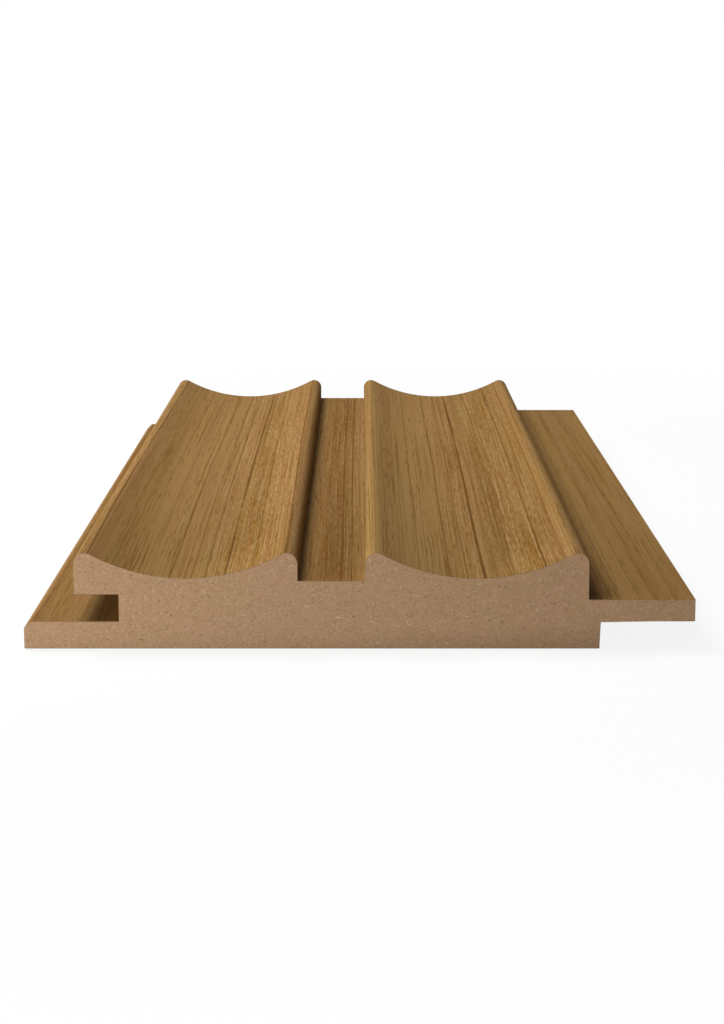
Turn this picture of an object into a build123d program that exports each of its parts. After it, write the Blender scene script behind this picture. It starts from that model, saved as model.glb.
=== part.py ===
# Wall panel: a moulded board of MDF with two fluted ribs, wrapped on its face side in a printed
# wood-grain film. One long edge has a lip over a groove and a fixing flange, the other a tongue
# that slides into the groove of the next panel.
# Frame: X across the panel, Y along it, Z out of the wall. The origin is the middle of the back.
import math
import os

from build123d import *

# Overall
panel_length = 250.0        # cut length of this piece, mm
panel_thickness = 17.5      # from the back to the top of the ridges
film_thickness = 0.2        # printed decor film

# Fluted ribs
rib_width = 40.0
ridge_radius = 2.0          # rounding along both shoulders of a rib
flute_depth = 4.6           # from the top of the ridges to the bottom of the flute
middle_groove_width = 12.0  # between the two ribs
middle_groove_depth = 5.1   # below the top of the ridges

# Tongue and groove
flange_thickness = 5.0      # fixing flange against the wall, under the next panel's tongue
flange_reach = 9.0          # how far the flange stands out past the lip
flange_chamfer = 1.2        # along the flange's outer top edge
groove_depth = 8.0          # from the lip's face to the groove's back wall
tongue_thickness = 4.0
tongue_clearance = 0.9      # room above a tongue inside the groove
joint_reveal = 2.0          # base of the panel past the right rib, under the tongue

# Places across the panel, worked out from the sizes above
tongue_length = flange_reach + groove_depth  # the tongue fills the neighbour's groove
panel_width = flange_reach + 2 * rib_width + middle_groove_width + joint_reveal + tongue_length
flange_end = -panel_width / 2
lip_face = flange_end + flange_reach
groove_back = lip_face + groove_depth
left_rib_end = lip_face + rib_width
right_rib_start = left_rib_end + middle_groove_width
right_rib_end = right_rib_start + rib_width
base_end = right_rib_end + joint_reveal
tongue_end = panel_width / 2

# Heights above the back
flange_top = flange_thickness  # the tongue's underside is level with it
tongue_top = flange_top + tongue_thickness
lip_underside = tongue_top + tongue_clearance
middle_groove_floor = panel_thickness - middle_groove_depth
ridge_centre_z = panel_thickness - ridge_radius

# The flute is one arc, tangent to the rounding of both ridges
ridge_inset = rib_width / 2 - ridge_radius  # from the middle of a rib to a ridge's centre
centres_apart = (ridge_inset**2 + flute_depth**2) / (2 * flute_depth)
flute_radius = centres_apart - ridge_radius
flute_centre_z = panel_thickness - flute_depth + flute_radius


def rib_line(start, end, skin):
    """The top of one rib, left to right: ridge, flute and ridge, a skin below the finished face."""
    middle = (start + end) / 2
    rounding = ridge_radius - skin
    share = rounding / centres_apart  # from a ridge's centre to where its rounding meets the flute
    meet_x = ridge_inset * (1 - share)
    meet_z = ridge_centre_z + (flute_centre_z - ridge_centre_z) * share
    tilt = math.atan2(ridge_inset, flute_centre_z - ridge_centre_z)
    half_turn = (math.pi / 2 + tilt) / 2  # half of the rounding's own angle
    crest_x = ridge_inset + rounding * math.cos(half_turn)
    crest_z = ridge_centre_z + rounding * math.sin(half_turn)
    flute_bottom = flute_centre_z - flute_radius - skin
    left_ridge = ThreePointArc(
        (start + skin, ridge_centre_z), (middle - crest_x, crest_z), (middle - meet_x, meet_z)
    )
    flute = ThreePointArc(
        (middle - meet_x, meet_z), (middle, flute_bottom), (middle + meet_x, meet_z)
    )
    right_ridge = ThreePointArc(
        (middle + meet_x, meet_z), (middle + crest_x, crest_z), (end - skin, ridge_centre_z)
    )
    return [left_ridge, flute, right_ridge]


def edge_corner(skin):
    """Where the face line starts, on the flange's outer edge."""
    return (flange_end, flange_top - flange_chamfer - skin * math.sqrt(2))


def face_line(skin):
    """The whole wrapped side, from the flange's outer edge to the tongue's end, at that depth."""
    chamfer_end = flange_end + flange_chamfer + skin * (math.sqrt(2) - 1)
    groove_side = Polyline(
        edge_corner(skin),
        (chamfer_end, flange_top - skin),
        (groove_back + skin, flange_top - skin),
        (groove_back + skin, lip_underside + skin),
        (lip_face + skin, lip_underside + skin),
        (lip_face + skin, ridge_centre_z),
    )
    middle_groove = Polyline(
        (left_rib_end - skin, ridge_centre_z),
        (left_rib_end - skin, middle_groove_floor - skin),
        (right_rib_start + skin, middle_groove_floor - skin),
        (right_rib_start + skin, ridge_centre_z),
    )
    tongue_side = Polyline(
        (right_rib_end - skin, ridge_centre_z),
        (right_rib_end - skin, tongue_top - skin),
        (tongue_end, tongue_top - skin),
    )
    left_rib = rib_line(lip_face, left_rib_end, skin)
    right_rib = rib_line(right_rib_start, right_rib_end, skin)
    return [groove_side, *left_rib, middle_groove, *right_rib, tongue_side]


def along_panel(outline):
    """A closed outline across the panel, run along its whole length."""
    section = Plane.XZ * make_face([edge for line in outline for edge in line.edges()])
    return extrude(section, amount=panel_length / 2, both=True)


def mdf_core():
    """The moulded board under the film, with its raw back, joint faces and cut ends."""
    back = Polyline(
        (tongue_end, tongue_top - film_thickness),
        (tongue_end, flange_top),
        (base_end, flange_top),
        (base_end, 0),
        (flange_end, 0),
        edge_corner(film_thickness),
    )
    return along_panel([*face_line(film_thickness), back])


def decor_film():
    """The film, trimmed flush with the flange's outer edge, the tongue's end and both cut ends."""
    flange_trim = Line(edge_corner(film_thickness), edge_corner(0))
    tongue_trim = Line((tongue_end, tongue_top), (tongue_end, tongue_top - film_thickness))
    return along_panel([*face_line(0), tongue_trim, *face_line(film_thickness), flange_trim])


os.makedirs("parts", exist_ok=True)
for name, solid in (("mdf_core", mdf_core()), ("decor_film", decor_film())):
    export_step(solid, f"parts/{name}.step")
    print(name, "volume", round(solid.volume), "mm3")
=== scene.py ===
import math

import bmesh
import bpy
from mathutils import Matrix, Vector


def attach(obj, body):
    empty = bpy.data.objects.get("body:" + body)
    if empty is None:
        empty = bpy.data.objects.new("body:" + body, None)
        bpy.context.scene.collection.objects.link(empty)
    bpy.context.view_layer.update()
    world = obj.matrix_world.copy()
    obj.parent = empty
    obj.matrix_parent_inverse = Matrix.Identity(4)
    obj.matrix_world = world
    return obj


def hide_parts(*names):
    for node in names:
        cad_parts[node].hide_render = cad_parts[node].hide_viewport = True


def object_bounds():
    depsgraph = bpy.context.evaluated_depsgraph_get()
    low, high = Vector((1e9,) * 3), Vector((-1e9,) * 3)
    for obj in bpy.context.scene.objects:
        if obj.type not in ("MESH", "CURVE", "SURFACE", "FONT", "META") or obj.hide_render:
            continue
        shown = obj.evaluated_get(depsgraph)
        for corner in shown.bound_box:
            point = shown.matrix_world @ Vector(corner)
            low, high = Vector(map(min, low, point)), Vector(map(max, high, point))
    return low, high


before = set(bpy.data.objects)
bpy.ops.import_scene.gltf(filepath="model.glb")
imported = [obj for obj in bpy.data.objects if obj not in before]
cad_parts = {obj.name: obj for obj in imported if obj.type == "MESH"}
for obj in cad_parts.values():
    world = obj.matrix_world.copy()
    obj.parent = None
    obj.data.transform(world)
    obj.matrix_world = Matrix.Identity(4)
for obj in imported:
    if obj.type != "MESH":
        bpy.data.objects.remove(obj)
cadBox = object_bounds()  # the CAD box, before anything is added
mm = 0.001
print("frame loaded:", sorted(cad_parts), [round(v, 4) for v in (*cadBox[0], *cadBox[1])])


# the moulded section, sizes in mm, the same as the solids have
section = {
    "thickness": 17.5, "film": 0.2,
    "rib": 40.0, "ridgeRadius": 2.0, "fluteDepth": 4.6,
    "middleGroove": 12.0, "middleGrooveDepth": 5.1,
    "flangeThickness": 5.0, "flangeReach": 9.0, "flangeChamfer": 1.2,
    "grooveDepth": 8.0, "tongueThickness": 4.0, "tongueClearance": 0.9, "jointReveal": 2.0,
    "ridgeSteps": 14, "fluteSteps": 56,  # how finely the round stretches are cut
}
lowCorner, highCorner = (v / mm for v in cadBox)
flangeEnd, tongueEnd = lowCorner.x, highCorner.x
panelFront, panelBack = lowCorner.y, highCorner.y
lipFace = flangeEnd + section["flangeReach"]
grooveBack = lipFace + section["grooveDepth"]
leftRibEnd = lipFace + section["rib"]
rightRibStart = leftRibEnd + section["middleGroove"]
rightRibEnd = rightRibStart + section["rib"]
baseEnd = rightRibEnd + section["jointReveal"]
flangeTop = section["flangeThickness"]
tongueTop = flangeTop + section["tongueThickness"]
lipUnderside = tongueTop + section["tongueClearance"]
middleFloor = section["thickness"] - section["middleGrooveDepth"]
ridgeHeight = section["thickness"] - section["ridgeRadius"]  # of the centres of the roundings
ridgeInset = section["rib"] / 2 - section["ridgeRadius"]
centresApart = (ridgeInset**2 + section["fluteDepth"] ** 2) / (2 * section["fluteDepth"])
fluteRadius = centresApart - section["ridgeRadius"]
fluteHeight = section["thickness"] - section["fluteDepth"] + fluteRadius
fluteHalfTurn = math.asin(ridgeInset / centresApart)


def arcPoints(centreX, centreZ, radius, first, last, steps):
    turn = (last - first) / steps
    angles = [first + turn * i for i in range(steps + 1)]
    return [(centreX + radius * math.sin(a), centreZ + radius * math.cos(a)) for a in angles]


def ribPoints(start, end, skin):  # ridge, flute, ridge; angles are from straight up, clockwise
    middle = (start + end) / 2
    ridge = section["ridgeRadius"] - skin
    steps = section["ridgeSteps"]
    left = arcPoints(middle - ridgeInset, ridgeHeight, ridge, -math.pi / 2, fluteHalfTurn, steps)
    down = math.pi + fluteHalfTurn, math.pi - fluteHalfTurn
    flute = arcPoints(middle, fluteHeight, fluteRadius + skin, *down, section["fluteSteps"])
    right = arcPoints(middle + ridgeInset, ridgeHeight, ridge, -fluteHalfTurn, math.pi / 2, steps)
    return left + flute[1:-1] + right


def faceLine(skin):  # the wrapped side from the flange's edge to the tongue's end, skin mm down
    chamfer = section["flangeChamfer"]
    return [
        (flangeEnd, flangeTop - chamfer - skin * math.sqrt(2)),
        (flangeEnd + chamfer + skin * (math.sqrt(2) - 1), flangeTop - skin),
        (grooveBack + skin, flangeTop - skin),
        (grooveBack + skin, lipUnderside + skin),
        (lipFace + skin, lipUnderside + skin),
        *ribPoints(lipFace, leftRibEnd, skin),
        (leftRibEnd - skin, middleFloor - skin),
        (rightRibStart + skin, middleFloor - skin),
        *ribPoints(rightRibStart, rightRibEnd, skin),
        (rightRibEnd - skin, tongueTop - skin),
        (tongueEnd, tongueTop - skin),
    ]


def developedWidths(line):  # distance along the film from its flange edge, for each point
    widths = [0.0]
    for a, b in zip(line, line[1:]):
        widths.append(widths[-1] + math.dist(a, b))
    return widths


def grainPlace(x):  # where on the flat film a point that is seen from above at x lies
    line = faceLine(0)
    widths = developedWidths(line)
    lowest = flangeTop if x < lipFace else tongueTop
    for (a, b), (s, e) in zip(zip(line, line[1:]), zip(widths, widths[1:])):
        if a[0] <= x <= b[0] and max(a[1], b[1]) >= lowest:
            return s + (e - s) * (x - a[0]) / (b[0] - a[0])
    return widths[-1]


def newPiece(name, mesh, node):
    piece = bpy.data.objects.new(name, mesh)
    bpy.context.scene.collection.objects.link(piece)
    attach(piece, "root")
    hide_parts(node)
    return piece


def rowsAlong(count, arris):  # places along the panel, with one close to each cut end
    inner = panelFront + arris, panelBack - arris
    step = (inner[1] - inner[0]) / count
    return [panelFront] + [inner[0] + step * i for i in range(count + 1)] + [panelBack]


# the printed film
filmWrap = {"arris": 0.05, "rows": 25, "grainAttribute": "grainMm", "smoothAngle": 28}


def buildFilm():
    outer, inner = faceLine(0), faceLine(section["film"])
    eased = faceLine(filmWrap["arris"])
    widths = developedWidths(outer)
    rows = rowsAlong(filmWrap["rows"], filmWrap["arris"])
    mesh = bpy.data.meshes.new("film_wrap")
    work = bmesh.new()
    grain = work.verts.layers.float_vector.new(filmWrap["grainAttribute"])
    printed, bare = 0, 1  # material slots

    def addLine(line, y):
        made = []
        for (x, z), width in zip(line, widths):
            vert = work.verts.new((x * mm, y * mm, z * mm))
            vert[grain] = (width, y, 0)
            made.append(vert)
        return made

    def addStrip(a, b, material):
        for i in range(len(a) - 1):
            face = work.faces.new((a[i], a[i + 1], b[i + 1], b[i]))
            face.material_index = material
            face.smooth = True

    ends = (rows[0], rows[-1])
    tops = [addLine(eased if y in ends else outer, y) for y in rows]
    backs = [addLine(inner, y) for y in rows]
    for i in range(len(rows) - 1):
        addStrip(tops[i], tops[i + 1], printed)
        addStrip(backs[i + 1], backs[i], bare)
        for k in (0, -1):  # trimmed long edges
            quad = (tops[i][k], tops[i + 1][k], backs[i + 1][k], backs[i][k])
            face = work.faces.new(quad if k == 0 else quad[::-1])
            face.material_index = bare
    addStrip(backs[0], tops[0], bare)
    addStrip(tops[-1], backs[-1], bare)
    bmesh.ops.recalc_face_normals(work, faces=work.faces)
    work.to_mesh(mesh)
    work.free()
    mesh.set_sharp_from_angle(angle=math.radians(filmWrap["smoothAngle"]))
    return newPiece("film_wrap", mesh, "decor_film")


# the board under it
boardCore = {"arris": 0.15, "arrisSteps": 2, "arrisProfile": 0.5, "smoothAngle": 28}


def buildBoard():
    face = faceLine(section["film"])
    back = [(tongueEnd, flangeTop), (baseEnd, flangeTop), (baseEnd, 0), (flangeEnd, 0)]
    outline = face + back
    count = len(outline)
    mesh = bpy.data.meshes.new("board_core")
    work = bmesh.new()
    milled = 1  # material slot, the cut ends have slot 0
    front = [work.verts.new((x * mm, panelFront * mm, z * mm)) for x, z in outline]
    rear = [work.verts.new((x * mm, panelBack * mm, z * mm)) for x, z in outline]
    work.faces.new(front)
    work.faces.new(rear[::-1])
    for i in range(count):
        k = (i + 1) % count
        side = work.faces.new((front[k], front[i], rear[i], rear[k]))
        side.material_index = milled
        side.smooth = i < len(face) - 1
    # arrises along the back and under the tongue
    raw = [work.edges.get((front[i], rear[i])) for i in range(len(face), count)]
    raw += [work.edges.get((row[i], row[i + 1])) for row in (front, rear)
            for i in range(len(face), count - 1)]
    bmesh.ops.bevel(work, geom=raw, offset=boardCore["arris"] * mm, segments=boardCore["arrisSteps"],
                    profile=boardCore["arrisProfile"], affect="EDGES", clamp_overlap=True)
    bmesh.ops.recalc_face_normals(work, faces=work.faces)
    work.to_mesh(mesh)
    work.free()
    mesh.set_sharp_from_angle(angle=math.radians(boardCore["smoothAngle"]))
    return newPiece("board_core", mesh, "mdf_core")


film = buildFilm()
board = buildBoard()
print("pieces built:", film.name, len(film.data.polygons), board.name, len(board.data.polygons))


# small helpers for the finishes
class Finish:
    def __init__(self, name):
        self.material = bpy.data.materials.new(name)
        self.material.use_nodes = True
        self.tree = self.material.node_tree
        self.shader = self.tree.nodes["Principled BSDF"]

    def node(self, kind, **settings):
        made = self.tree.nodes.new(kind)
        for key, value in settings.items():
            setattr(made, key, value)
        return made

    def feed(self, socket, value):
        if isinstance(value, bpy.types.NodeSocket):
            self.tree.links.new(value, socket)
        else:
            socket.default_value = value

    def math(self, operation, a, b=0.0, c=0.0):
        made = self.node("ShaderNodeMath", operation=operation)
        for socket, value in zip(made.inputs, (a, b, c)):
            self.feed(socket, value)
        return made.outputs[0]

    def stretch(self, vector, scale, place=(0, 0, 0), turn=0.0):
        made = self.node("ShaderNodeMapping")
        self.feed(made.inputs["Vector"], vector)
        made.inputs["Scale"].default_value = scale
        made.inputs["Location"].default_value = place
        made.inputs["Rotation"].default_value = (0, 0, turn)
        return made.outputs[0]

    def noise(self, vector, detail=2.0, rough=0.5):
        made = self.node("ShaderNodeTexNoise")
        self.feed(made.inputs["Vector"], vector)
        made.inputs["Scale"].default_value = 1.0
        made.inputs["Detail"].default_value = detail
        made.inputs["Roughness"].default_value = rough
        return made.outputs["Fac"]

    def cells(self, vector):  # distance to the nearest cell's centre, and a number of its own
        made = self.node("ShaderNodeTexVoronoi", voronoi_dimensions="2D")
        self.feed(made.inputs["Vector"], vector)
        made.inputs["Scale"].default_value = 1.0
        split = self.node("ShaderNodeSeparateColor")
        self.feed(split.inputs[0], made.outputs["Color"])
        return made.outputs["Distance"], split.outputs[0]

    def remap(self, value, low, high, start=0.0, end=1.0):
        made = self.node("ShaderNodeMapRange", interpolation_type="SMOOTHSTEP")
        for socket, number in zip(made.inputs, (value, low, high, start, end)):
            self.feed(socket, number)
        return made.outputs[0]

    def mix(self, share, a, b):
        made = self.node("ShaderNodeMix", data_type="RGBA")
        for socket, value in zip((0, 6, 7), (share, a, b)):  # the colours are sockets 6 and 7
            self.feed(made.inputs[socket], value)
        return made.outputs[2]

    def join(self, x, y):
        made = self.node("ShaderNodeCombineXYZ")
        for socket, value in zip(made.inputs, (x, y)):
            self.feed(socket, value)
        return made.outputs[0]

    def split(self, vector):
        made = self.node("ShaderNodeSeparateXYZ")
        self.feed(made.inputs[0], vector)
        return made.outputs

    def tint(self, colour, light, lean):  # lean: how far each channel follows the light
        change = self.node("ShaderNodeVectorMath", operation="SCALE")
        change.inputs[0].default_value = lean
        self.feed(change.inputs["Scale"], self.math("SUBTRACT", light, 1.0))
        made = self.node("ShaderNodeVectorMath", operation="MULTIPLY_ADD")
        for socket, value in zip(made.inputs, (change.outputs[0], colour, colour)):
            self.feed(socket, value)
        return made.outputs[0]

    def bump(self, height, strength, distance):
        made = self.node("ShaderNodeBump")
        made.inputs["Strength"].default_value = strength
        made.inputs["Distance"].default_value = distance
        self.feed(made.inputs["Height"], height)
        self.feed(self.shader.inputs["Normal"], made.outputs[0])


# printed wood grain, with painted shade and a painted shadow in a few strips: colours are linear,
# sizes in mm on the flat film
woodPrint = {
    "golden": (0.289, 0.167, 0.0545, 1), "tan": (0.292, 0.160, 0.0570, 1),
    "streak": (0.171, 0.084, 0.0190, 1), "pore": (0.143, 0.067, 0.0135, 1),
    # the red band colour also colours the painted shade and the painted shadow
    "line": (0.112, 0.047, 0.0090, 1), "redBandAndShade": (0.212, 0.110, 0.0360, 1),
    "lean": (0.54, 0.88, 1.50),  # dark fibre is richer, light fibre paler
    "shine": 0.003, "dent": (0.3, 0.00004),  # strength of the dents, and depth in metres
    # how far the grain wanders in mm, and the noise that it follows
    "sways": [(0.9, 0.02, 0.005, 3.1, 7.7, 0.0, 0.5), (0.11, 0.20, 0.030, 8.3, 1.9, 2.0, 0.5)],
    # noise layers: marks to the mm across and along, start, detail and roughness
    "layers": {
        "band": (0.25, 0.004, 1.3, 4.4, 2.0, 0.5),
        "blotch": (0.14, 0.009, 9.1, 2.2, 2.0, 0.5),
        "tone": (0.9, 0.008, 0.7, 5.2, 3.0, 0.55),
        "fibre": (3.0, 0.016, 2.4, 6.1, 1.0, 0.5),
        "figure": (2.6, 0.22, 3.4, 9.6, 1.0, 0.5),
        "tick": (3.2, 0.10, 6.6, 0.9, 2.0, 0.5),
        "season": (0.33, 0.003, 7.9, 3.3, 2.0, 0.5),
        "fade": (0.9, 0.010, 4.2, 8.8, 2.0, 0.5),
        "level": (0.80, 0.0020, 5.5, 0.3, 1.0, 0.5),
        "broken": (0.4, 0.020, 1.2, 3.8, 2.0, 0.5),
        "uneven": (0.30, 0.0025, 2.7, 1.4, 1.0, 0.5),
    },
    # how much of a mark a layer lets through: noise from and to, least and most
    "gates": {
        "band": (0.40, 0.62, 0.0, 1.0), "tone": (0.30, 0.65, 0.55, 1.0),
        "fade": (0.38, 0.60, 0.0, 1.0), "tick": (0.30, 0.60, 0.3, 1.0),
        "season": (0.40, 0.58, 0.3, 1.0), "broken": (0.28, 0.52, 0.4, 1.0),
    },
    "roughness": (0.3, 0.7, 0.58, 0.70),  # follows the fibre in the same way
    # lightness and each layer's contrast: on plain wood, and what coarse stretches add
    "lightness": (1.03, -0.05),
    "contrast": {
        "blotch": (0.34, 0.0), "tone": (0.30, 0.0), "fibre": (0.22, 1.55), "figure": (0.18, 1.20),
    },
    "ringsPerMm": 0.55, "ringWander": 1.8, "ringLate": (0.68, 0.98), "ringOwn": (0.15, 0.95),
    "ringShare": (0.12, 0.70),  # on plain wood, and added in coarse stretches
    "streakLevels": (0.43, 0.55), "streakEdge": (0.038, 0.008),
    "poreCells": (2.3, 0.052), "poreEdge": (0.27, 0.11), "porePick": (0.42, 0.75),
    "shares": {"streak": 0.90, "pore": 0.92, "line": 0.92},  # how far each covers the wood
    # dark growth lines: place across the panel, half width and strength; the ones at -48.3 and -13.5
    # are painted shade lines where the left rib's ridges turn away from the light
    "growthAndShadeLines": [(-58.0, 0.12, 0.15), (-52.0, 0.12, 0.35), (-48.3, 0.15, 0.80), (-41.0, 0.12, 0.35),
              (-37.7, 0.12, 0.40), (-33.9, 0.13, 0.50), (-30.3, 0.13, 0.55), (-27.9, 0.14, 0.70),
              (-24.3, 0.19, 1.00), (-19.5, 0.12, 0.50), (-15.0, 0.12, 0.35), (-13.5, 0.15, 0.85),
              (-6.5, 0.12, 0.50), (-3.5, 0.15, 0.80), (-1.6, 0.14, 0.70), (3.0, 0.12, 0.30),
              (7.5, 0.12, 0.30), (11.0, 0.12, 0.35), (16.6, 0.14, 0.70), (19.8, 0.13, 0.55),
              (22.9, 0.20, 1.00), (27.5, 0.13, 0.50), (33.6, 0.15, 0.85), (37.0, 0.12, 0.50),
              (46.5, 0.13, 0.40), (50.0, 0.12, 0.30), (54.5, 0.13, 0.30), (58.0, 0.12, 0.25)],
    "lineSpread": 1.9,  # a line fades out at this many half widths
    # stretches of coarser fibre: place, half width and strength
    "coarse": [(-55.0, 6.0, 0.3), (-20.0, 13.0, 1.0), (-4.5, 7.5, 1.0), (20.5, 7.0, 0.7),
               (31.0, 12.0, 1.0)],
    # darker, redder bands: place, half width and strength; the ones at -47, -13, -11 and -5 are
    # painted shade beside the left rib's ridges and in the middle groove, and the one at 41.1 is a
    # painted shadow of the right rib on the tongue
    "redBandsAndShade": [(-56.0, 7.0, 0.60), (-49.5, 1.2, 0.35), (-47.0, 2.0, 0.45), (-44.5, 4.0, 0.35),
              (-13.0, 1.6, 0.35), (-11.0, 4.0, 0.50), (-5.0, 6.5, 1.0), (6.5, 4.0, 0.20),
              (25.6, 2.6, 0.40), (35.5, 4.5, 0.45), (41.1, 10.0, 0.90), (52.0, 11.0, 0.50)],
    "softEdge": 0.16,  # the full-strength share of each half width
}


def softStrips(finish, across, wanted, spread=1.0):  # soft-edged strips along the grain
    found = 0.0
    for place, halfWidth, strength in wanted:
        reach = spread * halfWidth
        away = finish.math("ABSOLUTE", finish.math("SUBTRACT", across, grainPlace(place)))
        strip = finish.remap(away, reach, woodPrint["softEdge"] * reach, 0.0, strength)
        found = finish.math("MAXIMUM", strip, found)
    return found


def growthRings(finish, moved, uneven):  # each ring darkens and then stops short
    wander = finish.math("MULTIPLY", uneven, woodPrint["ringWander"])
    turn = finish.math("MULTIPLY_ADD", moved, woodPrint["ringsPerMm"], wander)
    late = finish.remap(finish.math("FRACT", turn), *woodPrint["ringLate"])
    own = finish.node("ShaderNodeTexWhiteNoise", noise_dimensions="1D")
    finish.feed(own.inputs["W"], finish.math("FLOOR", turn))
    return finish.math("MULTIPLY", late, finish.remap(own.outputs["Value"], *woodPrint["ringOwn"]))


def grainNoise(finish, vector, wide, long, startU, startV, detail, rough):
    place = finish.stretch(vector, (wide, long, 1), (startU, startV, 0))
    return finish.noise(place, detail, rough)


def woodGrainFilm():
    finish = Finish("printed_grain_with_painted_shade")
    source = finish.node("ShaderNodeAttribute", attribute_name=filmWrap["grainAttribute"])
    flat = source.outputs["Vector"]
    moved, along, _ = finish.split(flat)
    for reach, *marks in woodPrint["sways"]:
        sway = finish.math("SUBTRACT", grainNoise(finish, flat, *marks), 0.5)
        moved = finish.math("MULTIPLY_ADD", sway, 2 * reach, moved)
    grain = finish.join(moved, along)
    layer = {name: grainNoise(finish, grain, *marks) for name, marks in woodPrint["layers"].items()}
    gate = {name: finish.remap(layer[name], *ends) for name, ends in woodPrint["gates"].items()}
    coarse = softStrips(finish, moved, woodPrint["coarse"])

    # thin streaks follow the level lines of a stretched noise
    streak = 0.0
    for height in woodPrint["streakLevels"]:
        away = finish.math("ABSOLUTE", finish.math("SUBTRACT", layer["level"], height))
        streak = finish.math("MAXIMUM", finish.remap(away, *woodPrint["streakEdge"]), streak)
    streak = finish.math("MULTIPLY", streak, gate["fade"])
    plain, added = woodPrint["ringShare"]
    ring = growthRings(finish, moved, layer["uneven"])
    ring = finish.math("MULTIPLY", ring, finish.math("MULTIPLY_ADD", coarse, added, plain))
    streak = finish.math("MAXIMUM", streak, ring)
    streak = finish.math("MULTIPLY", streak, gate["tick"])

    nearest, pick = finish.cells(finish.stretch(grain, (*woodPrint["poreCells"], 1)))
    pore = finish.remap(nearest, *woodPrint["poreEdge"])
    pore = finish.math("MULTIPLY", pore, finish.remap(pick, *woodPrint["porePick"]))
    pore = finish.math("MULTIPLY", pore, gate["season"])

    # dark print lines, and two painted shade lines along the left rib's ridges
    line = softStrips(finish, moved, woodPrint["growthAndShadeLines"], woodPrint["lineSpread"])
    line = finish.math("MULTIPLY", line, gate["broken"])
    # redder bands, partly painted shade in the middle groove and beside the left rib's ridges, and a
    # painted shadow of the right rib on the tongue
    band = softStrips(finish, moved, woodPrint["redBandsAndShade"])
    band = finish.math("MULTIPLY", band, gate["tone"])

    colour = finish.mix(gate["band"], woodPrint["golden"], woodPrint["tan"])
    colour = finish.mix(band, colour, woodPrint["redBandAndShade"])
    plain, added = woodPrint["lightness"]
    light = finish.math("MULTIPLY_ADD", coarse, added, plain)
    for name, (plain, added) in woodPrint["contrast"].items():
        strength = finish.math("MULTIPLY_ADD", coarse, added, plain)
        change = finish.math("SUBTRACT", layer[name], 0.5)
        light = finish.math("MULTIPLY_ADD", change, strength, light)
    colour = finish.tint(colour, light, woodPrint["lean"])
    for name, mark in (("streak", streak), ("pore", pore), ("line", line)):
        share = finish.math("MULTIPLY", mark, woodPrint["shares"][name])
        colour = finish.mix(share, colour, woodPrint[name])
    finish.feed(finish.shader.inputs["Base Color"], colour)
    finish.feed(finish.shader.inputs["Roughness"],
                finish.remap(layer["fibre"], *woodPrint["roughness"]))
    finish.shader.inputs["Specular IOR Level"].default_value = woodPrint["shine"]
    dents = finish.math("MAXIMUM", finish.math("MAXIMUM", pore, streak), line)
    finish.bump(finish.math("SUBTRACT", 1.0, dents), *woodPrint["dent"])
    return finish.material


# fibreboard: colours are linear, sizes in mm
fibreboard = {
    "base": (0.482, 0.300, 0.167, 1), "warm": (0.504, 0.305, 0.177, 1),
    "dull": (0.433, 0.272, 0.144, 1),
    "paleFibre": (0.70, 0.52, 0.36, 1), "darkFibre": (0.21, 0.122, 0.070, 1),
    "lean": (0.62, 0.97, 1.40), "roughness": 0.88, "shine": 0.01,
    # noise layers: marks to the mm, start, detail and roughness
    "layers": {
        "cloud": ((0.16, 0.16, 0.30), (2, 5, 8), 3.0, 0.5),
        "mottle": ((0.9, 0.9, 1.4), (6, 1, 3), 3.0, 0.6),
        "speck": ((3.0, 3.0, 4.2), (0, 0, 0), 3.0, 0.7),
    },
    "warmGate": (0.32, 0.68), "dullGate": (0.40, 0.70, 0.0, 0.55),
    "speckLight": (0.50, 1.00),  # least light, and what the specks add
    # marks, the last on top; a row of fibres has its turn in degrees, length, width and
    # the share of the cells that hold a fibre
    "marks": {
        "dark": {"colour": "darkFibre", "share": 0.38, "start": 41.0, "rows": [
            (2, 0.58, 0.24, 0.28), (-24, 0.50, 0.22, 0.20), (34, 0.46, 0.22, 0.16)]},
        "pale": {"colour": "paleFibre", "share": 0.40, "start": 3.0, "rows": [
            (3, 0.48, 0.21, 0.20), (-30, 0.48, 0.19, 0.15),
            (40, 0.60, 0.16, 0.05), (-60, 0.60, 0.16, 0.05)]},
        "spot": {"colour": "darkFibre", "share": 0.75, "start": 103.0, "rows": [
            (5, 0.50, 0.28, 0.016), (-30, 0.45, 0.26, 0.012)]},
        "bright": {"colour": "paleFibre", "share": 0.65, "start": 77.0, "rows": [
            (14, 1.0, 0.22, 0.014), (-28, 0.9, 0.20, 0.012), (72, 0.8, 0.20, 0.010)]},
    },
    "rowStep": (13.7, -7.1), "fibreEdge": (0.40, 0.12),
    "paleRelief": 0.6, "cutBump": 0.4, "milledBump": 0.2, "bumpDepth": 0.0001,  # depth in metres
}


def fibres(finish, plane, mark):
    found = 0.0
    stepU, stepV = fibreboard["rowStep"]
    for number, (turn, length, width, share) in enumerate(mark["rows"]):
        place = (mark["start"] + stepU * number, mark["start"] + stepV * number, 0)
        turned = finish.stretch(plane, (1, 1, 1), place, math.radians(turn))
        cell = (0.5 / length, 0.5 / width, 1)  # a cell has twice its fibre's length and width
        nearest, pick = finish.cells(finish.stretch(turned, cell))
        fibre = finish.remap(nearest, *fibreboard["fibreEdge"])
        fibre = finish.math("MULTIPLY", fibre, finish.remap(pick, 1 - share, 1.0))
        found = finish.math("MAXIMUM", fibre, found)
    return found


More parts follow.
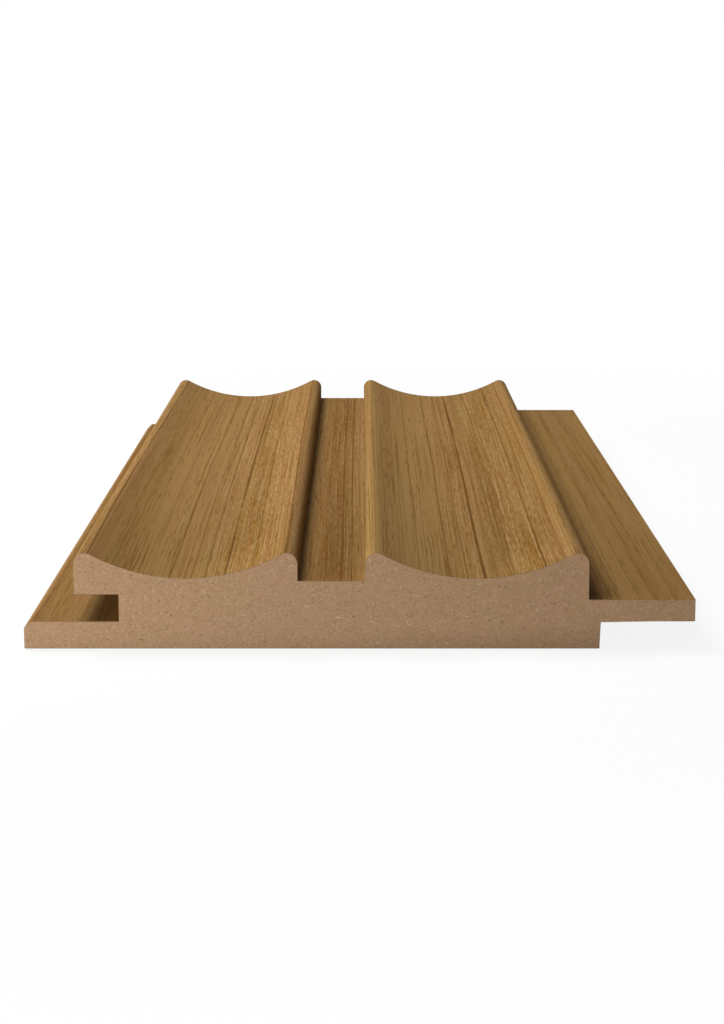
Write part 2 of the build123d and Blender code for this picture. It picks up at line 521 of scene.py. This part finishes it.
def rawFibreboard(name, cutEnd):
    finish = Finish(name)
    source = finish.node("ShaderNodeTexCoord")
    inMm = finish.stretch(source.outputs["Object"], (1 / mm, 1 / mm, 1 / mm))
    x, y, z = finish.split(inMm)
    plane = finish.join(x, z) if cutEnd else finish.join(finish.math("ADD", x, z), y)
    layer = {}
    for key, (scale, start, detail, rough) in fibreboard["layers"].items():
        layer[key] = finish.noise(finish.stretch(inMm, scale, start), detail, rough)
    warm = finish.remap(layer["cloud"], *fibreboard["warmGate"])
    colour = finish.mix(warm, fibreboard["base"], fibreboard["warm"])
    dull = finish.remap(layer["mottle"], *fibreboard["dullGate"])
    colour = finish.mix(dull, colour, fibreboard["dull"])
    least, added = fibreboard["speckLight"]
    light = finish.math("MULTIPLY_ADD", layer["speck"], added, least)
    colour = finish.tint(colour, light, fibreboard["lean"])
    found = {}
    for key, mark in fibreboard["marks"].items():
        found[key] = fibres(finish, plane, mark)
        share = finish.math("MULTIPLY", found[key], mark["share"])
        colour = finish.mix(share, colour, fibreboard[mark["colour"]])
    finish.feed(finish.shader.inputs["Base Color"], colour)
    finish.shader.inputs["Roughness"].default_value = fibreboard["roughness"]
    finish.shader.inputs["Specular IOR Level"].default_value = fibreboard["shine"]
    raised = finish.math("MULTIPLY", found["pale"], fibreboard["paleRelief"])
    strength = fibreboard["cutBump" if cutEnd else "milledBump"]
    finish.bump(finish.math("ADD", layer["speck"], raised), strength, fibreboard["bumpDepth"])
    return finish.material


# the film's own cut edge, a thin tan line
filmEdge = {
    "tan": (0.44, 0.275, 0.150, 1), "brown": (0.36, 0.215, 0.105, 1), "roughness": 0.8,
    "patchesPerMetre": 900, "brownGate": (0.35, 0.65),
}


def filmCutEdge():
    finish = Finish("film_cut_edge")
    source = finish.node("ShaderNodeTexCoord")
    patch = finish.noise(finish.stretch(source.outputs["Object"], [filmEdge["patchesPerMetre"]] * 3))
    brown = finish.remap(patch, *filmEdge["brownGate"])
    finish.feed(finish.shader.inputs["Base Color"],
                finish.mix(brown, filmEdge["tan"], filmEdge["brown"]))
    finish.shader.inputs["Roughness"].default_value = filmEdge["roughness"]
    return finish.material


film.data.materials.append(woodGrainFilm())
film.data.materials.append(filmCutEdge())
board.data.materials.append(rawFibreboard("fibreboard_cut", True))
board.data.materials.append(rawFibreboard("fibreboard_milled", False))
print("finishes made:", [m.name for m in bpy.data.materials if m.users])


# stage: pale floor, white beyond it, sizes in metres
studio = {
    "floorSize": 8.0, "belowPanel": 0.0002, "floorRoughness": 0.9,
    "floorColour": (0.88, 0.88, 0.88, 1), "floorThrow": (0.18, 0.18, 0.18, 1),
    # share of plain white in the floor's picture near the panel, and where it grows to all
    "whiteNear": 0.88, "fadeFrom": 0.12, "fadeTo": 0.36,
    "skyOnObject": 0.12,  # the sky shows white, and lights the object this much
}


def buildFloor():
    half = studio["floorSize"] / 2
    corners = [(-half, -half, 0), (half, -half, 0), (half, half, 0), (-half, half, 0)]
    mesh = bpy.data.meshes.new("floor")
    mesh.from_pydata(corners, [], [(0, 1, 2, 3)])
    floor = bpy.data.objects.new("floor", mesh)
    floor.location.z = cadBox[0].z - studio["belowPanel"]
    bpy.context.scene.collection.objects.link(floor)
    finish = Finish("pale_floor")
    path = finish.node("ShaderNodeLightPath")
    seen = path.outputs["Is Camera Ray"]  # the floor throws less light up than it shows
    finish.feed(finish.shader.inputs["Base Color"],
                finish.mix(seen, studio["floorThrow"], studio["floorColour"]))
    finish.shader.inputs["Roughness"].default_value = studio["floorRoughness"]
    source = finish.node("ShaderNodeTexCoord")
    reach = finish.node("ShaderNodeVectorMath", operation="LENGTH")
    finish.feed(reach.inputs[0], source.outputs["Object"])
    fade = finish.remap(reach.outputs["Value"], studio["fadeFrom"], studio["fadeTo"],
                        studio["whiteNear"], 1.0)
    white = finish.node("ShaderNodeEmission")
    blend = finish.node("ShaderNodeMixShader")
    finish.feed(blend.inputs[0], finish.math("MULTIPLY", fade, seen))
    finish.feed(blend.inputs[1], finish.shader.outputs[0])
    finish.feed(blend.inputs[2], white.outputs[0])
    finish.feed(finish.tree.nodes["Material Output"].inputs["Surface"], blend.outputs[0])
    mesh.materials.append(finish.material)


def buildSky():
    world = bpy.data.worlds.new("studio")
    bpy.context.scene.world = world
    world.use_nodes = True
    tree = world.node_tree
    sky = tree.nodes["Background"]
    sky.inputs["Color"].default_value = (1, 1, 1, 1)
    path = tree.nodes.new("ShaderNodeLightPath")
    seen = path.outputs["Is Camera Ray"]
    for other in ("Is Glossy Ray", "Is Transmission Ray"):
        either = tree.nodes.new("ShaderNodeMath")
        either.operation = "MAXIMUM"
        tree.links.new(seen, either.inputs[0])
        tree.links.new(path.outputs[other], either.inputs[1])
        seen = either.outputs[0]
    strength = tree.nodes.new("ShaderNodeMapRange")
    tree.links.new(seen, strength.inputs["Value"])
    strength.inputs["To Min"].default_value = studio["skyOnObject"]
    strength.inputs["To Max"].default_value = 1.0
    tree.links.new(strength.outputs[0], sky.inputs["Strength"])


# lamps: degrees round from the front by the left, degrees up, metres away, size and watts
lamps = {
    "key": {"round": 110, "up": 64, "away": 0.50, "aim": (0, 0, 0.01),
            "size": (0.30, 0.30), "power": 3.03, "sheen": True},
    "side": {"round": 50, "up": 5, "away": 0.42, "aim": (-0.05, -0.12, 0.01),
             "size": (0.18, 0.06), "power": 2.0, "sheen": True},
    # a strip on the floor for the far cut end, with no sheen on the film
    "back": {"round": 180, "up": 0, "away": 0.60, "aim": (0, 0.125, 0.003),
             "size": (0.30, 0.004), "power": 1.5, "sheen": False},
}


def buildLamps():
    for name, lamp in lamps.items():
        data = bpy.data.lights.new(name, "AREA")
        data.shape = "RECTANGLE"
        data.size, data.size_y = lamp["size"]
        data.energy = lamp["power"]
        turn, tilt = math.radians(lamp["round"]), math.radians(lamp["up"])
        level = math.cos(tilt)
        toward = Vector((-math.sin(turn) * level, -math.cos(turn) * level, math.sin(tilt)))
        made = bpy.data.objects.new(name, data)
        made.location = Vector(lamp["aim"]) + lamp["away"] * toward
        made.visible_glossy = lamp["sheen"]
        made.rotation_mode = "QUATERNION"
        made.rotation_quaternion = toward.to_track_quat("Z", "Y")
        bpy.context.scene.collection.objects.link(made)


# camera: fitted to the photograph's cut end, far end and vanishing lines, in mm and degrees
camera = {
    "x": 0.46, "beyondFront": 414.6, "height": 99.7, "pitch": 10.23, "lens": 83.57, "sensor": 36.0,
    "clip": (0.01, 50),  # in metres
}


def buildCamera():
    data = bpy.data.cameras.new("camera")
    data.sensor_width = camera["sensor"]
    data.lens = camera["lens"]
    data.clip_start, data.clip_end = camera["clip"]
    made = bpy.data.objects.new("camera", data)
    y = panelFront - camera["beyondFront"]
    made.location = (camera["x"] * mm, y * mm, camera["height"] * mm)
    made.rotation_euler = (math.radians(90 - camera["pitch"]), 0, 0)
    bpy.context.scene.collection.objects.link(made)
    bpy.context.scene.camera = made


buildFloor()
buildSky()
buildLamps()
buildCamera()
bpy.context.scene.view_settings.view_transform = "Standard"
print("stage set")
